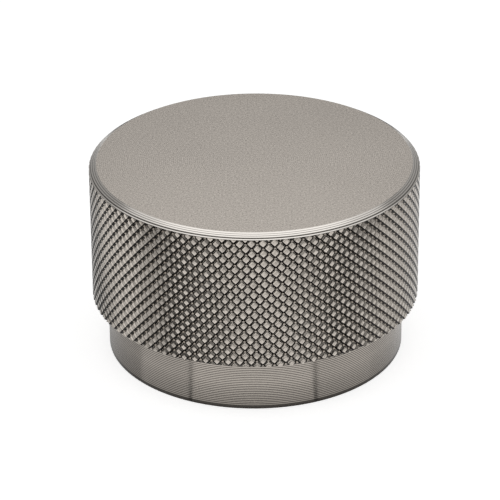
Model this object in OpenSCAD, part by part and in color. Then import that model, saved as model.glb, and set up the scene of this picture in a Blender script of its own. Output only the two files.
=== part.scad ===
// Turned cabinet knob with a diamond-knurled grip, made in one piece.
// The origin is the middle of the mounting face and +Z runs up the knob's axis.

/* [Grip] */
// Diameter over the points of the knurl
grip_d = 40; // [39:0.5:46]
// Height from the mounting face to the flat top
knob_h = 24.2; // [20:0.1:30]

/* [Knurl] */
// Number of grooves that run each way round the grip
knurl_grooves = 92; // [60:1:104]
// Depth of the grooves below the points
knurl_depth = 0.35; // [0.25:0.05:0.6]

/* [Top edge] */
// How far the plain land lies below the points of the knurl
land_drop = 0.22; // [0.1:0.02:0.3]
// Height of the plain land between the knurl and the bevel
land_h = 0.14; // [0.1:0.02:1]
// Width of the bevel, measured in from the land
bevel_w = 0.68; // [0.3:0.02:3]
// Height of the bevel
bevel_h = 0.4; // [0.2:0.02:3]

/* [Base] */
// Diameter of the plain base
base_d = 36.2; // [24:0.2:38]
// Height of the plain base, up to the knurl
base_h = 6.84; // [3:0.04:12]
// Size of the broken edge round the mounting face
base_break = 0.25; // [0.1:0.05:1]

/* [Fixing hole] */
// Tapping size of the hole for the fixing screw
hole_d = 3.3; // [2.5:0.1:4.3]
// Depth of the hole, without its drill point
hole_depth = 12; // [6:0.5:16]
// Diameter of the countersink at the mouth of the hole
mouth_d = 4.6; // [4:0.1:8]

/* [Hidden] */

// Full angle of the drill's point and of the countersink
drill_angle = 118;
mouth_angle = 90;

// Radii of the turned steps
grip_r = grip_d / 2;
base_r = base_d / 2;
root_r = grip_r - knurl_depth;
land_r = grip_r - land_drop;
top_r = land_r - bevel_w;

// Heights where one step ends and the next begins
bevel_z = knob_h - bevel_h;
land_z = bevel_z - land_h;
grip_h = land_z - base_h;

// The knurl's net has two columns to a groove. Its rows are as far apart as its
// columns, so that the grooves run at 45 degrees, and they fill the grip exactly.
net_cols = 2 * knurl_grooves;
net_rows = max(2, round(grip_h / (PI * grip_d / net_cols)));
row_h = grip_h / net_rows;

// The knurled sleeve reaches this far into the turned body that carries it
sleeve_lap = 0.8;
bore_r = base_r - sleeve_lap;

body_fn = 180;
hole_fn = 64;

// A net point is a knurl point where row and column add up to an even number,
// and the crossing of two grooves where they don't.
function net_r(i, j) = (i + j) % 2 == 0 ? grip_r : root_r;
function ring_point(r, i, z) =
    let (a = 360 * i / net_cols) [r * cos(a), r * sin(a), z];
function at(i, j) = j * net_cols + i % net_cols;

// The two triangles of a net square meet along its groove
function net_square(i, j) =
    (i + j) % 2 == 0
        ? [[at(i, j), at(i, j + 1), at(i + 1, j)],
           [at(i + 1, j), at(i, j + 1), at(i + 1, j + 1)]]
        : [[at(i, j), at(i, j + 1), at(i + 1, j + 1)],
           [at(i, j), at(i + 1, j + 1), at(i + 1, j)]];

// Two triangles between neighbouring rings of points, row a below and outside b
function ring_square(i, a, b) =
    [[at(i, a), at(i, b), at(i + 1, a)], [at(i + 1, a), at(i, b), at(i + 1, b)]];

// Knurled sleeve: the net outside, a plain bore inside and two flat ends
module knurl_sleeve() {
    columns = [0:net_cols - 1];
    bore_top = net_rows + 1;
    bore_bottom = net_rows + 2;
    points = concat(
        [for (j = [0:net_rows]) for (i = columns)
            ring_point(net_r(i, j), i, base_h + j * row_h)],
        [for (i = columns) ring_point(bore_r, i, land_z)],
        [for (i = columns) ring_point(bore_r, i, base_h)]);
    faces = concat(
        [for (j = [0:net_rows - 1]) for (i = columns) each net_square(i, j)],
        [for (i = columns) each ring_square(i, net_rows, bore_top)],
        [for (i = columns) each ring_square(i, bore_top, bore_bottom)],
        [for (i = columns) each ring_square(i, bore_bottom, 0)]);
    polyhedron(points = points, faces = faces, convexity = 4);
}

// Turned body: base, the core under the knurl, land, bevel and flat top
module turned_body() {
    rotate_extrude($fn = body_fn)
        polygon([
            [0, 0],
            [base_r - base_break, 0],
            [base_r, base_break],
            [base_r, land_z],
            [land_r, land_z],
            [land_r, bevel_z],
            [top_r, knob_h],
            [0, knob_h]]);
}

// Tapped blind hole at its tapping size, with a drill point and a countersink
module fixing_hole() {
    hole_r = hole_d / 2;
    mouth_r = mouth_d / 2;
    point_h = hole_r / tan(drill_angle / 2);
    mouth_h = (mouth_r - hole_r) / tan(mouth_angle / 2);
    over = 1;
    over_r = mouth_r + over * tan(mouth_angle / 2);
    rotate_extrude($fn = hole_fn)
        polygon([
            [0, -over],
            [over_r, -over],
            [hole_r, mouth_h],
            [hole_r, hole_depth],
            [0, hole_depth + point_h]]);
}

module knob() {
    color("#a59e95")
        difference() {
            union() {
                turned_body();
                knurl_sleeve();
            }
            fixing_hole();
        }
}

knob();
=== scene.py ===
from math import cos, pi, radians, sin, tan

import bmesh
import bpy
from mathutils import Matrix, Vector


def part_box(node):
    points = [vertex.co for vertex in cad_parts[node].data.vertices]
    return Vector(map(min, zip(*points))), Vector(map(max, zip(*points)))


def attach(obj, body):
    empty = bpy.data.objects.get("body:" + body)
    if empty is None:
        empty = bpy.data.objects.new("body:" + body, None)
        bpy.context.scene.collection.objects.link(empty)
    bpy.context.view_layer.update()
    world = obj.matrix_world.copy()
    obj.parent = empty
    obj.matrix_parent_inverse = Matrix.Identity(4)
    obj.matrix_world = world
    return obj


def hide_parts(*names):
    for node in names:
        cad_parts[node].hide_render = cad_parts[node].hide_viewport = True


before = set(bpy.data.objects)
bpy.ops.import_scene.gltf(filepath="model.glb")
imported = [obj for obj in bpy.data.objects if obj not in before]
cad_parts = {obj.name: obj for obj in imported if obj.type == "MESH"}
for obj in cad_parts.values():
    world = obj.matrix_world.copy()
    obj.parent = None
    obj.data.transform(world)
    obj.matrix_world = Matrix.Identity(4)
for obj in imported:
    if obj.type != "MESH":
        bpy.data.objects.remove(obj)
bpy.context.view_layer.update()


# Turned body. One bar of steel held in a lathe: faced across the top, bevelled round the
# rim above a narrow land, and turned down to a plain base under the grip. The turning tool
# leaves the lines of its feed on the top, the bevel and the base.

MM = 0.001
far_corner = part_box("knob")[1]
KNOB_H = far_corner.z
GRIP_R = far_corner.x

BEVEL_WIDTH = 0.68 * MM
BEVEL_DROP = 0.40 * MM
LAND_SINK = 0.22 * MM
LAND_H = 0.14 * MM
LAND_R = GRIP_R - LAND_SINK
TOP_R = LAND_R - BEVEL_WIDTH
BEVEL_Z = KNOB_H - BEVEL_DROP
LAND_Z = BEVEL_Z - LAND_H

RIM_SINK = 0.03 * MM
RIM_DROP = 0.06 * MM
RIM_H = 0.05 * MM
RIM_RISE = 0.09 * MM
RIM_R = GRIP_R - RIM_SINK
RIM_Z = LAND_Z - RIM_DROP

CORE_SINK = 0.9 * MM
CORE_R = GRIP_R - CORE_SINK
BASE_R = 18.1 * MM
BASE_H = 6.84 * MM
BASE_BREAK = 0.08 * MM
TURNED_SIDES = 128

BASE_TURNS = 28
BASE_FEED = (BASE_H - BASE_BREAK) / BASE_TURNS
BASE_FEED_DEPTH = 0.016 * MM
BEVEL_LINES = 3
BEVEL_LINE_DEPTH = 0.007 * MM

FINISHES = ["faced_top", "bevel", "land", "knurl", "turned_base", "foot_edge",
            "mounting_face", "screw_thread"]
for finish in FINISHES:
    bpy.data.materials.new(finish)


def base_profile():
    """Scalloped wall of the base, from its broken edge up to the grip."""
    points = []
    for turn in range(BASE_TURNS):
        z = BASE_BREAK + turn * BASE_FEED
        points.append((BASE_R, z, "turned_base"))
        points.append((BASE_R - BASE_FEED_DEPTH, z + BASE_FEED / 2, "turned_base"))
    points.append((BASE_R, BASE_H, "turned_base"))
    return points


def bevel_profile():
    """Bevel from the land up to the flat top, with its fine turning lines."""
    points = []
    for line in range(BEVEL_LINES):
        for part, sink in ((0, 0), (0.5, BEVEL_LINE_DEPTH)):
            t = (line + part) / BEVEL_LINES
            radius = LAND_R + (TOP_R - LAND_R) * t - sink
            points.append((radius, BEVEL_Z + (KNOB_H - BEVEL_Z) * t - sink, "bevel"))
    return points


def spun(name, profile, sides):
    """Closed solid of revolution from rows of (radius, height, finish of the band above)."""
    bm = bmesh.new()
    rings = []
    for radius, z, finish in profile:
        count = sides if radius > 0 else 1
        turns = [2 * pi * i / sides for i in range(count)]
        rings.append([bm.verts.new((radius * cos(turn), radius * sin(turn), z)) for turn in turns])
    for lower, upper, row in zip(rings, rings[1:], profile):
        for i in range(sides):
            k = (i + 1) % sides
            around = [lower[i % len(lower)], lower[k % len(lower)],
                      upper[k % len(upper)], upper[i % len(upper)]]
            face = bm.faces.new(dict.fromkeys(around))
            face.material_index = FINISHES.index(row[2])
    return solid(name, bm)


def solid(name, bm):
    """Object made from a finished mesh, with every finish in its material list."""
    mesh = bpy.data.meshes.new(name)
    bm.to_mesh(mesh)
    bm.free()
    for finish in FINISHES:
        mesh.materials.append(bpy.data.materials[finish])
    body = bpy.data.objects.new(name, mesh)
    bpy.context.scene.collection.objects.link(body)
    return body


profile = [(0, 0, "mounting_face"), (BASE_R - BASE_BREAK, 0, "foot_edge")]
profile += base_profile()
profile += [(CORE_R, BASE_H, "land"), (CORE_R, RIM_Z - RIM_H, "land"),
            (RIM_R, RIM_Z - RIM_H, "bevel"), (RIM_R, RIM_Z, "bevel"),
            (LAND_R, RIM_Z + RIM_RISE, "land")]
profile += bevel_profile()
profile += [(TOP_R, KNOB_H, "faced_top"), (0, KNOB_H, "faced_top")]
knob = spun("turned_knob", profile, TURNED_SIDES)


class Wire:
    """A shader output that takes part in ordinary arithmetic."""

    def __init__(self, tree, output):
        self.tree = tree
        self.output = output

    def node(self, kind, settings, inputs, output=0):
        """Any other node of the same tree, fed with wires or plain values."""
        made = self.tree.nodes.new(kind)
        for key, value in settings.items():
            setattr(made, key, value)
        for key, value in inputs.items():
            if isinstance(value, Wire):
                self.tree.links.new(value.output, made.inputs[key])
            else:
                made.inputs[key].default_value = value
        return Wire(self.tree, made.outputs[output])

    def math(self, operation, *others):
        """Result of one Math operation on this value and the others."""
        inputs = dict(enumerate((self,) + others))
        return self.node("ShaderNodeMath", {"operation": operation}, inputs)

    def __add__(self, other):
        return self.math("ADD", other)

    def __sub__(self, other):
        return self.math("SUBTRACT", other)

    def __rsub__(self, other):
        return self.math("MULTIPLY_ADD", -1.0, other)

    def __mul__(self, other):
        return self.math("MULTIPLY", other)

    __radd__ = __add__
    __rmul__ = __mul__

    def held(self):
        """The same value kept between 0 and 1."""
        return self.math("MAXIMUM", 0.0).math("MINIMUM", 1.0)

    def blend(self, at_zero, at_one):
        """Colour that runs from the first to the second as this value goes from 0 to 1."""
        return self.node("ShaderNodeMix", {"data_type": "RGBA"}, {0: self, 6: at_zero, 7: at_one}, 2)

    def swing(self, width):
        """Rise and fall of the given width about zero, from this value of 0 to 1."""
        return (self - 0.5) * width

    def ripple(self, spacing):
        """Even wave from -1 to 1, with the given spacing of its crests."""
        return (self * (2 * pi / spacing)).math("SINE")

    def grain(self, size, detail):
        """Fine cloudy noise from 0 to 1 with spots of about the given size, at this position."""
        return self.node("ShaderNodeTexNoise", {}, {"Vector": self, "Scale": 1 / size, "Detail": detail})

    def part(self, axis):
        """One coordinate of this position."""
        return self.node("ShaderNodeSeparateXYZ", {}, {0: self}, axis)

    def from_axis(self):
        """Distance of this position from the knob's axis."""
        return (self.part(0) * self.part(0) + self.part(1) * self.part(1)).math("SQRT")

    def feed(self, shader, socket):
        self.tree.links.new(self.output, shader.inputs[socket])


def metal(finish, anisotropic):
    """Bare metal shader of one finish, and a wire with the place on the knob."""
    material = bpy.data.materials[finish]
    material.use_nodes = True
    shader = material.node_tree.nodes["Principled BSDF"]
    shader.inputs["Metallic"].default_value = 1
    shader.inputs["Anisotropic"].default_value = anisotropic
    coordinates = material.node_tree.nodes.new("ShaderNodeTexCoord")
    return shader, Wire(material.node_tree, coordinates.outputs["Object"])


def raised(height, depth):
    """Normal of a surface with the fine relief of this height, times the depth."""
    return height.node("ShaderNodeBump", {}, {"Strength": 1.0, "Distance": depth, "Height": height})


def tinted(colour, amount):
    """Colour made darker or lighter by the given factor."""
    return tuple(part * amount for part in colour[:3]) + (1,)


# In each finish DARK and PALE tint its colour, and MATT is how far its roughness swings
STEEL = (0.59, 0.538, 0.483, 1)
GRAIN_SIZE = 0.12 * MM
GRAIN_DEPTH = 0.0012 * MM
GRAIN_DETAIL = 2
CLOUD_SIZE = 9 * MM
CLOUD_DETAIL = 3
# A quarter turn, so that the shine is drawn out across the lines of the feed
ACROSS_FEED = 0.25

# Faced top: fine rings of the feed under bright and dull flecks
FACING_FEED = 0.24 * MM
FACING_DEPTH = 0.0002 * MM
FLECK_SIZE = 0.22 * MM
FLECK_DETAIL = 3
TOP_DARK = 0.58
TOP_PALE = 1.36
TOP_LIGHTNESS = 0.405
TOP_CLOUDS = 0.15
TOP_FLECKS = 1.6
TOP_RINGS = 0.12
TOP_ROUGHNESS = 0.27
TOP_GRAIN_MATT = 0.05
TOP_CLOUD_MATT = 0.04
TOP_ANISOTROPY = 0.3

shader, place = metal("faced_top", TOP_ANISOTROPY)
shader.inputs["Anisotropic Rotation"].default_value = ACROSS_FEED
clouds = place.grain(CLOUD_SIZE, CLOUD_DETAIL)
grain = place.grain(GRAIN_SIZE, GRAIN_DETAIL)
rings = place.from_axis().ripple(FACING_FEED)
flecks = place.grain(FLECK_SIZE, FLECK_DETAIL)
speckle = clouds * TOP_CLOUDS + flecks.swing(TOP_FLECKS) + rings * TOP_RINGS + TOP_LIGHTNESS
speckle.blend(tinted(STEEL, TOP_DARK), tinted(STEEL, TOP_PALE)).feed(shader, "Base Color")
matt = grain.swing(TOP_GRAIN_MATT) + clouds.swing(TOP_CLOUD_MATT) + TOP_ROUGHNESS
matt.feed(shader, "Roughness")
raised(grain + rings * (FACING_DEPTH / GRAIN_DEPTH), GRAIN_DEPTH).feed(shader, "Normal")

# Bevel: bright, with turning lines that darken toward the land
BEVEL_COLOUR = (0.655, 0.62, 0.578, 1)
BEVEL_DARK = 0.35
BEVEL_FEED = BEVEL_WIDTH / BEVEL_LINES
TRACE_AT_TOP = 0.45
TRACE_AT_LAND = 1.25
TRACE_GRAIN = 0.5
BEVEL_ROUGHNESS = 0.2
BEVEL_MATT = 0.06
BEVEL_ANISOTROPY = 0.5

shader, place = metal("bevel", BEVEL_ANISOTROPY)
grain = place.grain(GRAIN_SIZE, GRAIN_DETAIL)
radius = place.from_axis()
outward = (radius - TOP_R) * (1 / BEVEL_WIDTH)
strength = outward * (TRACE_AT_LAND - TRACE_AT_TOP) + TRACE_AT_TOP
trace = ((radius.ripple(BEVEL_FEED) + grain * TRACE_GRAIN) * strength).held()
trace.blend(BEVEL_COLOUR, tinted(BEVEL_COLOUR, BEVEL_DARK)).feed(shader, "Base Color")
(grain.swing(BEVEL_MATT) + BEVEL_ROUGHNESS).feed(shader, "Roughness")

# Land: a dull step between the bevel and the knurl, painted dark as shade
LAND_SHADE_DARK = 0.2
LAND_SHADE_PALE = 0.42
LAND_ROUGHNESS = 0.4
LAND_MATT = 0.06

shader, place = metal("land", BEVEL_ANISOTROPY)
grain = place.grain(GRAIN_SIZE, GRAIN_DETAIL)
grain.blend(tinted(STEEL, LAND_SHADE_DARK), tinted(STEEL, LAND_SHADE_PALE)).feed(shader, "Base Color")
(grain.swing(LAND_MATT) + LAND_ROUGHNESS).feed(shader, "Roughness")

# Foot edge: the broken corner, painted nearly black as the contact shadow where it meets the floor
FOOT_SHADOW_DARK = 0.02
FOOT_SHADOW_PALE = 0.08
FOOT_SHADOW_GLINT = (0.1, 0.1, 0.1, 1)
FOOT_EDGE_ROUGHNESS = 0.5
FOOT_EDGE_MATT = 0.1

shader, place = metal("foot_edge", 0)
shader.inputs["Specular Tint"].default_value = FOOT_SHADOW_GLINT
grain = place.grain(GRAIN_SIZE, GRAIN_DETAIL)
grain.blend(tinted(STEEL, FOOT_SHADOW_DARK), tinted(STEEL, FOOT_SHADOW_PALE)).feed(shader, "Base Color")
(grain.swing(FOOT_EDGE_MATT) + FOOT_EDGE_ROUGHNESS).feed(shader, "Roughness")

# Turned base: painted shade in the valleys of the feed and a painted contact shadow darkening toward the
# foot, finely scratched
TURNING_FEED = 0.103 * MM
TURNING_DEPTH = 0.0008 * MM
TURNING_SHARE = 0.7
VALLEY_MIDDLE = 0.3
VALLEY_SWING = 0.9
FEED_SHADE = 0.95
FOOT_SHADE = 0.38
EDGE_SHADE = 1.4
GRAIN_WEAR = 0.3
FOOT_H = 3.6 * MM
EDGE_H = 0.6 * MM
BASE_PALE = 0.85
BASE_DARK = 0.09
BASE_ROUGHNESS = 0.24
BASE_GRAIN_MATT = 0.08
BASE_FOOT_MATT = 0.06
BASE_ANISOTROPY = 0.85

shader, place = metal("turned_base", BASE_ANISOTROPY)
shader.inputs["Anisotropic Rotation"].default_value = ACROSS_FEED
grain = place.grain(GRAIN_SIZE, GRAIN_DETAIL)
height = place.part(2)
lines = height.ripple(TURNING_FEED) * 0.5 + 0.5
crest = ((height - BASE_BREAK) * (2 * pi / BASE_FEED)).math("COSINE")
valley = (VALLEY_MIDDLE - crest * VALLEY_SWING).held()
foot = (1 - height * (1 / FOOT_H)).held()
edge = (1 - height * (1 / EDGE_H)).held()
# Painted shade in the valleys of the feed and a painted contact shadow at the foot, over the grain's own
# tone
tone_shift = (valley * FEED_SHADE + foot * FOOT_SHADE + edge * EDGE_SHADE + grain.swing(GRAIN_WEAR)).held()
tone_shift.blend(tinted(STEEL, BASE_PALE), tinted(STEEL, BASE_DARK)).feed(shader, "Base Color")
matt = grain.swing(BASE_GRAIN_MATT) + foot * BASE_FOOT_MATT + BASE_ROUGHNESS
matt.feed(shader, "Roughness")
raised(lines * TURNING_SHARE + grain * (1 - TURNING_SHARE), TURNING_DEPTH).feed(shader, "Normal")

# Mounting face: faced like the top, but with a coarser feed
BACKING_FEED = 0.42 * MM
BACKING_DEPTH = 0.004 * MM
BACKING_SHARE = 0.8
BACKING_DARK = 0.80
BACKING_PALE = 0.98
BACKING_ROUGHNESS = 0.34
BACKING_MATT = 0.08

shader, place = metal("mounting_face", BASE_ANISOTROPY)
grain = place.grain(GRAIN_SIZE, GRAIN_DETAIL)
clouds = place.grain(CLOUD_SIZE, CLOUD_DETAIL)
rings = place.from_axis().ripple(BACKING_FEED) * 0.5 + 0.5
clouds.blend(tinted(STEEL, BACKING_DARK), tinted(STEEL, BACKING_PALE)).feed(shader, "Base Color")
matt = grain.swing(BACKING_MATT) + clouds.swing(BACKING_MATT) + BACKING_ROUGHNESS
matt.feed(shader, "Roughness")
raised(rings * BACKING_SHARE + grain * (1 - BACKING_SHARE), BACKING_DEPTH).feed(shader, "Normal")


# Knurl. Two hardened wheels press crossing grooves into the grip and leave nearly flat
# diamonds, burnished bright by the pressing. The wheels don't quite match, so more grooves
# lean one way than the other and the rows of diamonds climb slowly round the grip.

GROOVES_A = 96
GROOVES_B = 88
LEAD_A = -14.31 / GRIP_R
LEAD_B = 15.40 / GRIP_R
PHASE_A = 0.254
PHASE_B = 0.172
GROOVE_DEPTH = 0.19 * MM
# Across one pitch: distance from the middle of the groove, and height of its wall there
GROOVE = [(-0.012, 0.0), (0.012, 0.0), (0.19, 0.88), (0.23, 1.0), (0.77, 1.0), (0.81, 0.88)]
RUN_OUT = 1.2 * MM


def capped(name, bm, middle, hubs, finish):
    """Solid of one finish from an open sleeve, each end closed by a fan of faces to its hub."""
    for z in hubs:
        hub = bm.verts.new((0, 0, z))
        rim = [edge for edge in bm.edges
               if edge.is_boundary and (edge.verts[0].co.z - middle) * (z - middle) > 0]
        for edge in rim:
            bm.faces.new([edge.verts[0], edge.verts[1], hub])
    bmesh.ops.recalc_face_normals(bm, faces=bm.faces)
    bmesh.ops.triangulate(bm, faces=bm.faces)
    for face in bm.faces:
        face.material_index = FINISHES.index(finish)
    return solid(name, bm)


def knurl_sleeve(name):
    """Closed drum that carries the net of grooves and runs out past both ends of the grip."""
    per = len(GROOVE)
    spread = GROOVES_A * LEAD_B - GROOVES_B * LEAD_A
    z_low = BASE_H - RUN_OUT
    z_high = LAND_Z + RUN_OUT
    bm = bmesh.new()
    made = {}

    def place_of(i, j):
        a = i // per + GROOVE[i % per][0] - PHASE_A
        b = j // per + GROOVE[j % per][0] - PHASE_B
        return (LEAD_B * a - LEAD_A * b) / spread, (GROOVES_A * b - GROOVES_B * a) / spread

    def corner(i, j):
        laps = j // (GROOVES_B * per)
        key = (i - laps * GROOVES_A * per, j - laps * GROOVES_B * per)
        if key not in made:
            turn, z = place_of(*key)
            wall = min(GROOVE[key[0] % per][1], GROOVE[key[1] % per][1])
            radius = GRIP_R - GROOVE_DEPTH * (1 - wall)
            x = radius * cos(2 * pi * turn)
            y = radius * sin(2 * pi * turn)
            made[key] = (bm.verts.new((x, y, z)), wall)
        return made[key]

    for j in range(GROOVES_B * per):
        b = j / per - PHASE_B
        first = int(((GROOVES_A * b - spread * z_high) / GROOVES_B + PHASE_A) * per) - per
        last = int(((GROOVES_A * b - spread * z_low) / GROOVES_B + PHASE_A) * per) + per
        for i in range(first, last):
            z = (place_of(i, j)[1] + place_of(i + 1, j + 1)[1]) / 2
            if not z_low < z < z_high:
                continue
            ring = [corner(i, j), corner(i + 1, j), corner(i + 1, j + 1), corner(i, j + 1)]
            verts = [vert for vert, wall in ring]
            # The crease of two grooves runs along the taller diagonal
            start = 0 if ring[0][1] + ring[2][1] >= ring[1][1] + ring[3][1] else 1
            verts = verts[start:] + verts[:start]
            bm.faces.new(verts[:3])
            bm.faces.new([verts[2], verts[3], verts[0]])
    return capped(name, bm, (z_low + z_high) / 2, (z_low - RUN_OUT, z_high + RUN_OUT), "knurl")


def cut(body, tool, operation):
    """Boolean of two closed solids, left on the first; the second is used up."""
    change = body.modifiers.new(operation, "BOOLEAN")
    change.operation = operation
    change.solver = "MANIFOLD"
    change.object = tool
    bpy.context.view_layer.update()
    changed = body.evaluated_get(bpy.context.evaluated_depsgraph_get())
    result = bpy.data.meshes.new_from_object(changed)
    body.modifiers.clear()
    body.data = result
    bpy.data.objects.remove(tool)


BAND_R = GRIP_R + 1 * MM
BAND_TOP = RIM_Z - RIM_H / 2

grip = knurl_sleeve("grip")
band = spun("band", [(0, BASE_H, "turned_base"), (BAND_R, BASE_H, "knurl"),
                     (BAND_R, BAND_TOP, "knurl"), (0, BAND_TOP, "knurl")], TURNED_SIDES)
cut(grip, band, "INTERSECT")
cut(knob, grip, "UNION")

PAD_COLOUR = (0.6, 0.55, 0.494, 1)
DULL_COLOUR = (0.28, 0.256, 0.229, 1)
WALL_COLOUR = (0.66, 0.603, 0.538, 1)
# The near-black under colour is painted shade on the lower walls of the grooves
UNDER_SHADE_COLOUR = (0.008, 0.007, 0.006, 1)
# Distances from the middle of a diamond, in groove pitches
PAD_EDGE = 0.26
LOWER_EDGE = 0.182
CROSSING_EDGE = 0.34
DIMPLE_REACH = 0.1
EDGE_SHARPNESS = 40
SOFTNESS = 20
CROSSING_SHADE_CUT = 0.85
SCUFF_SIZE = 0.9 * MM
SCUFF_DETAIL = 4
SCUFF_TONE = 1.4
PIT_SIZE = 0.1 * MM
PIT_DETAIL = 2
PIT_DEPTH = 0.0015 * MM
PIT_TONE = 2.2
SLOPE_SHADE = 0.9
PAD_LIGHTNESS = 0.68
DOME_RISE = 0.06 * MM
DIMPLE_DEPTH = 0.006 * MM
DIMPLE_SHADE = 0.5
PAD_ROUGHNESS = 0.13
WALL_ROUGHNESS = 0.2
SCUFF_MATT = 0.06

shader, place = metal("knurl", 0)
turn = place.part(1).math("ARCTAN2", place.part(0)) * (0.5 / pi)
# Each runs from -0.5 to 0.5 across one diamond, from groove to groove
across_a = (turn * GROOVES_A + place.part(2) * LEAD_A + PHASE_A).math("FRACT") - 0.5
across_b = (turn * GROOVES_B + place.part(2) * LEAD_B + PHASE_B).math("FRACT") - 0.5
lower = across_a.math("MAXIMUM", across_b * -1)
upper = across_b.math("MAXIMUM", across_a * -1)
nearer = across_a.math("ABSOLUTE").math("MINIMUM", across_b.math("ABSOLUTE"))
off_pad = ((lower.math("MAXIMUM", upper) - PAD_EDGE) * EDGE_SHARPNESS).held()
crossing = ((nearer - CROSSING_EDGE) * SOFTNESS).held()
# Painted shade: the lower walls of each groove go near black, less so where two grooves cross
painted_under_shade = ((lower - LOWER_EDGE) * SOFTNESS).held() * (1 - crossing * CROSSING_SHADE_CUT)
squared = across_a * across_a + across_b * across_b
dimple = (1 - squared.math("SQRT") * (1 / DIMPLE_REACH)).held()
scuffs = place.grain(SCUFF_SIZE, SCUFF_DETAIL)
pits = place.grain(PIT_SIZE, PIT_DETAIL)
# Painted light and shade on each diamond: its lower half lighter, its upper half and its dimple darker;
# the scuffs and pits are the metal's own wear
painted_slope_shade = (across_a - across_b) * SLOPE_SHADE
tone_shift = scuffs.swing(SCUFF_TONE) + pits.swing(PIT_TONE)
wear_and_painted_shade = (painted_slope_shade + tone_shift + PAD_LIGHTNESS - dimple * DIMPLE_SHADE).held()
metal_colour = off_pad.blend(wear_and_painted_shade.blend(DULL_COLOUR, PAD_COLOUR), WALL_COLOUR)
painted_under_shade.blend(metal_colour, UNDER_SHADE_COLOUR).feed(shader, "Base Color")
matt = off_pad * (WALL_ROUGHNESS - PAD_ROUGHNESS) + scuffs.swing(SCUFF_MATT) + PAD_ROUGHNESS
matt.feed(shader, "Roughness")
relief = (pits + scuffs) * (PIT_DEPTH / DOME_RISE) - squared - dimple * (DIMPLE_DEPTH / DOME_RISE)
raised(relief, DOME_RISE).feed(shader, "Normal")


# Fixing hole. A blind hole drilled up from the mounting face, countersunk at its mouth and
# tapped M4 for the screw that comes through the door. Drill and tap are solids of their own
# shape, taken out of the body.

DRILL_R = 1.65 * MM
THREAD_R = 2.02 * MM
THREAD_PITCH = 0.7 * MM
THREAD_TOP = 9.5 * MM
HOLE_DEPTH = 12 * MM
MOUTH_R = 2.3 * MM
DRILL_POINT = radians(118)
HOLE_SIDES = 40
OVER = 1 * MM
TAP_CORE_R = DRILL_R - 0.05 * MM
# Half widths of the tap's tooth, in pitches, at its crest and at its foot
CREST_HALF = 0.0625
TOOTH_HALF = 0.41
TOOTH = [(-TOOTH_HALF, TAP_CORE_R), (-CREST_HALF, THREAD_R),
         (CREST_HALF, THREAD_R), (TOOTH_HALF, TAP_CORE_R)]


def tap_solid(name):
    """Closed rod with a helical tooth, from below the mounting face to the end of the thread."""
    per = len(TOOTH)
    bm = bmesh.new()
    rows = int((THREAD_TOP + OVER) / THREAD_PITCH) * per
    made = {}

    def corner(side, row):
        lap = side // HOLE_SIDES
        key = (side - lap * HOLE_SIDES, row + lap * per)
        if key not in made:
            offset, radius = TOOTH[key[1] % per]
            turn = 2 * pi * key[0] / HOLE_SIDES
            z = (key[1] // per + offset + key[0] / HOLE_SIDES) * THREAD_PITCH - OVER
            made[key] = bm.verts.new((radius * cos(turn), radius * sin(turn), z))
        return made[key]

    for side in range(HOLE_SIDES):
        for row in range(rows):
            bm.faces.new([corner(side, row), corner(side + 1, row),
                          corner(side + 1, row + 1), corner(side, row + 1)])
    middle = rows / per * THREAD_PITCH / 2 - OVER
    return capped(name, bm, middle, (-2 * OVER, THREAD_TOP + OVER), "screw_thread")


outline = [(0, -OVER), (MOUTH_R + OVER, -OVER), (DRILL_R, MOUTH_R - DRILL_R), (DRILL_R, HOLE_DEPTH),
           (0, HOLE_DEPTH + DRILL_R / tan(DRILL_POINT / 2))]
drill = spun("drill", [(radius, z, "screw_thread") for radius, z in outline], HOLE_SIDES)
cut(knob, drill, "DIFFERENCE")
cut(knob, tap_solid("tap"), "DIFFERENCE")

SWARF_SIZE = 0.3 * MM
SWARF_DETAIL = 4
CUT_DEPTH = 0.002 * MM
CUT_DARK = 0.62
CUT_PALE = 0.95
CUT_ROUGHNESS = 0.32
CUT_MATT = 0.16

shader, place = metal("screw_thread", 0)
swarf = place.grain(SWARF_SIZE, SWARF_DETAIL)
swarf.blend(tinted(STEEL, CUT_DARK), tinted(STEEL, CUT_PALE)).feed(shader, "Base Color")
(swarf.swing(CUT_MATT) + CUT_ROUGHNESS).feed(shader, "Roughness")
raised(swarf, CUT_DEPTH).feed(shader, "Normal")

# The knob is whole: slivers shorter than the weld go, and steep edges stay crisp
WELD = 0.0001 * MM
CREASE = radians(17)

bm = bmesh.new()
bm.from_mesh(knob.data)
bmesh.ops.remove_doubles(bm, verts=bm.verts, dist=WELD)
bm.to_mesh(knob.data)
bm.free()
knob.data.set_sharp_from_angle(angle=CREASE)
for polygon in knob.data.polygons:
    polygon.use_smooth = True
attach(knob, "root")
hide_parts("knob")


# Studio. A pale floor and a white surround, one soft lamp overhead, and cards and floor
# mats round the knob, which nothing but the metal reflects.

DISTANCE = 18.799 * GRIP_R
ELEVATION = radians(27.63)
AIM = Vector((-0.0306 * GRIP_R, 0, 0.5949 * GRIP_R))
ROLL = 0.008
FOCAL_PX = 3068.5
FRAME_PX = 500
SENSOR_MM = 36
NEAREST = 0.01

camera_data = bpy.data.cameras.new("camera")
camera_data.sensor_width = SENSOR_MM
camera_data.lens = FOCAL_PX / FRAME_PX * SENSOR_MM
camera_data.clip_start = NEAREST
camera = bpy.data.objects.new("camera", camera_data)
back = Vector((0, -cos(ELEVATION), sin(ELEVATION)))
camera.matrix_world = (Matrix.Translation(AIM + DISTANCE * back)
                       @ Matrix.Rotation(pi / 2 - ELEVATION, 4, "X")
                       @ Matrix.Rotation(-ROLL, 4, "Z"))
bpy.context.scene.collection.objects.link(camera)
bpy.context.scene.camera = camera


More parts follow.
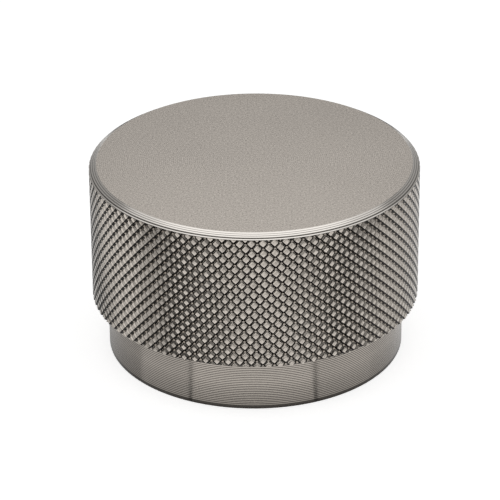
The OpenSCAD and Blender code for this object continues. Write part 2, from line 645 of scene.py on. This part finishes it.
def seen(tree):
    """1 for what the camera sees, directly or in the metal, and 0 for light that falls on things."""
    path = tree.nodes.new("ShaderNodeLightPath")
    camera_ray = Wire(tree, path.outputs["Is Camera Ray"])
    glossy_ray = Wire(tree, path.outputs["Is Glossy Ray"])
    clear_ray = Wire(tree, path.outputs["Is Transmission Ray"])
    return (camera_ray + glossy_ray + clear_ray).held()


FLOOR_REACH = 3
FLOOR_Z = -0.01 * MM
# An opening under the foot leaves the mounting face in view from below
OPENING_R = BASE_R - 0.4 * MM
FLOOR_TONE = 0.8
FLOOR_GLOW = 0.74
FLOOR_ROUGHNESS = 0.9
WORLD_FILL = 0.35
BLACK = (0, 0, 0, 1)
WHITE = (1, 1, 1, 1)

bm = bmesh.new()
rings = []
for reach in (OPENING_R, FLOOR_REACH):
    turns = [2 * pi * i / TURNED_SIDES for i in range(TURNED_SIDES)]
    rings.append([bm.verts.new((reach * cos(turn), reach * sin(turn), FLOOR_Z)) for turn in turns])
for i in range(TURNED_SIDES):
    bm.faces.new([rings[0][i - 1], rings[1][i - 1], rings[1][i], rings[0][i]])
floor_mesh = bpy.data.meshes.new("floor")
bm.to_mesh(floor_mesh)
bm.free()
floor_material = bpy.data.materials.new("floor")
floor_material.use_nodes = True
floor_shader = floor_material.node_tree.nodes["Principled BSDF"]
floor_shader.inputs["Base Color"].default_value = (FLOOR_TONE, FLOOR_TONE, FLOOR_TONE, 1)
floor_shader.inputs["Roughness"].default_value = FLOOR_ROUGHNESS
floor_shader.inputs["Specular IOR Level"].default_value = 0
floor_shader.inputs["Emission Strength"].default_value = 1
glow = seen(floor_material.node_tree) * FLOOR_GLOW
glow.blend(BLACK, WHITE).feed(floor_shader, "Emission Color")
floor_mesh.materials.append(floor_material)
floor = bpy.data.objects.new("floor", floor_mesh)
bpy.context.scene.collection.objects.link(floor)

world = bpy.data.worlds.new("studio")
bpy.context.scene.world = world
world.use_nodes = True
backdrop = world.node_tree.nodes["Background"]
backdrop.inputs["Color"].default_value = WHITE
fill = seen(world.node_tree) * (1 - WORLD_FILL) + WORLD_FILL
fill.feed(backdrop, "Strength")

SOFTBOX_PLACE = (0, -0.05, 0.55)
SOFTBOX_WIDTH = 0.6
SOFTBOX_DEPTH = 0.4
SOFTBOX_RADIANCE = 0.5

lamp_data = bpy.data.lights.new("overhead_softbox", "AREA")
lamp_data.shape = "RECTANGLE"
lamp_data.size = SOFTBOX_WIDTH
lamp_data.size_y = SOFTBOX_DEPTH
lamp_data.energy = SOFTBOX_RADIANCE * pi * SOFTBOX_WIDTH * SOFTBOX_DEPTH
lamp = bpy.data.objects.new("overhead_softbox", lamp_data)
lamp.location = SOFTBOX_PLACE
bpy.context.scene.collection.objects.link(lamp)

CARD_STEPS = 16
MAT_STEPS = 24
MAT_H = 0.05 * MM


def strip(bm, one_side, other_side):
    """Row of faces between two rows of points."""
    sides = [[bm.verts.new(point) for point in side] for side in (one_side, other_side)]
    for k in range(len(one_side) - 1):
        bm.faces.new([sides[0][k], sides[0][k + 1], sides[1][k + 1], sides[1][k]])


def board(bm, name, tone):
    """Card of one plain tone that only the metal sees."""
    mesh = bpy.data.meshes.new(name)
    bm.to_mesh(mesh)
    bm.free()
    material = bpy.data.materials.new(name)
    material.use_nodes = True
    shader = material.node_tree.nodes["Principled BSDF"]
    shader.inputs["Base Color"].default_value = BLACK
    shader.inputs["Specular IOR Level"].default_value = 0
    shader.inputs["Emission Color"].default_value = WHITE
    shader.inputs["Emission Strength"].default_value = tone
    mesh.materials.append(material)
    standing = bpy.data.objects.new(name, mesh)
    standing.visible_camera = False
    standing.visible_diffuse = False
    standing.visible_shadow = False
    bpy.context.scene.collection.objects.link(standing)


def steps_between(azimuths, count):
    """Even steps from one azimuth to the other, both in degrees with the front at 0."""
    start, end = azimuths
    return [radians(start + (end - start) * step / count) for step in range(count + 1)]


def card(name, azimuths, elevations, distance, tone):
    """Curved card; its angles are in degrees, seen from the middle of the knob."""
    rows = []
    for elevation in elevations:
        z = max(0, KNOB_H / 2 + distance * tan(radians(elevation)))
        turns = steps_between(azimuths, CARD_STEPS)
        rows.append([(distance * sin(turn), -distance * cos(turn), z) for turn in turns])
    bm = bmesh.new()
    strip(bm, rows[0], rows[1])
    board(bm, name, tone)


def mat(name, azimuths, reach, tone):
    """Flat mat on the floor, over just the ground that this stretch of the base reflects."""
    rows = [[], []]
    for turn in steps_between(azimuths, MAT_STEPS):
        foot = Vector((sin(turn), -cos(turn), 0)) * BASE_R + Vector((0, 0, MAT_H))
        along = Vector((sin(2 * turn), -cos(2 * turn), 0))
        for row, distance in zip(rows, reach):
            row.append(foot + along * distance)
    bm = bmesh.new()
    strip(bm, rows[0], rows[1])
    board(bm, name, tone)


# Reach of the cards in degrees of elevation
LOW = (-30, 13)
HIGH = (13, 42)
SIDE_LOW = (-30, 14)
SIDE_HIGH = (14, 42)
WING = (14, 45)
KNEE = (-30, 5)
BACK = (-5, 25.5)
FRONT_DISTANCE = 0.085
SIDE_DISTANCE = 0.06
WING_DISTANCE = 0.12
BACK_DISTANCE = 0.6

card("front_left_card", (-58, 22), LOW, FRONT_DISTANCE, 0.02)
card("front_right_card", (22, 60), LOW, FRONT_DISTANCE, 0.06)
card("camera_card", (-12, 12), HIGH, FRONT_DISTANCE, 0.06)
card("beside_camera_card", (12, 32), HIGH, FRONT_DISTANCE, 0.25)
card("high_left_card", (-75, -30), SIDE_HIGH, FRONT_DISTANCE, 0.9)
card("upper_left_card", (-30, -12), HIGH, FRONT_DISTANCE, 0.4)
card("high_right_card", (32, 75), SIDE_HIGH, FRONT_DISTANCE, 0.6)
card("left_card", (-125, -58), SIDE_LOW, SIDE_DISTANCE, 0.12)
card("right_card", (60, 125), SIDE_LOW, SIDE_DISTANCE, 0.42)
card("left_wing", (-125, -75), WING, WING_DISTANCE, 0.26)
card("back_left_wing", (-165, -125), WING, WING_DISTANCE, 0.42)
card("right_wing", (75, 125), WING, WING_DISTANCE, 0.26)
card("back_right_wing", (125, 165), WING, WING_DISTANCE, 0.46)
card("low_back_card", (125, 235), KNEE, SIDE_DISTANCE, 0.1)
card("back_card", (168, 192), BACK, BACK_DISTANCE, 0.1)
card("back_left_card", (192, 250), BACK, BACK_DISTANCE, 0.5)
card("back_right_card", (110, 168), BACK, BACK_DISTANCE, 0.5)

# Reach of the mats out from the foot
AT_FOOT = 0.2 * MM
HALF_WAY = 13.5 * MM
FAR_OUT = 60 * MM
NEAR = (AT_FOOT, HALF_WAY)
FAR = (HALF_WAY, FAR_OUT)

mat("left_strip", (-26.6, -25.1), NEAR, 0.36)
mat("left_mat", (-50, -26.6), NEAR, 0.85)
mat("side_left_mat", (-90, -50), NEAR, 0.58)
mat("right_strip", (22.5, 24.1), NEAR, 0.34)
mat("right_mat", (24.1, 50), NEAR, 0.88)
mat("side_right_mat", (50, 90), NEAR, 0.78)
mat("far_left_mat", (-90, -28), FAR, 0.8)
mat("far_right_mat", (28, 90), FAR, 1.0)
bpy.context.scene.view_settings.view_transform = "Standard"
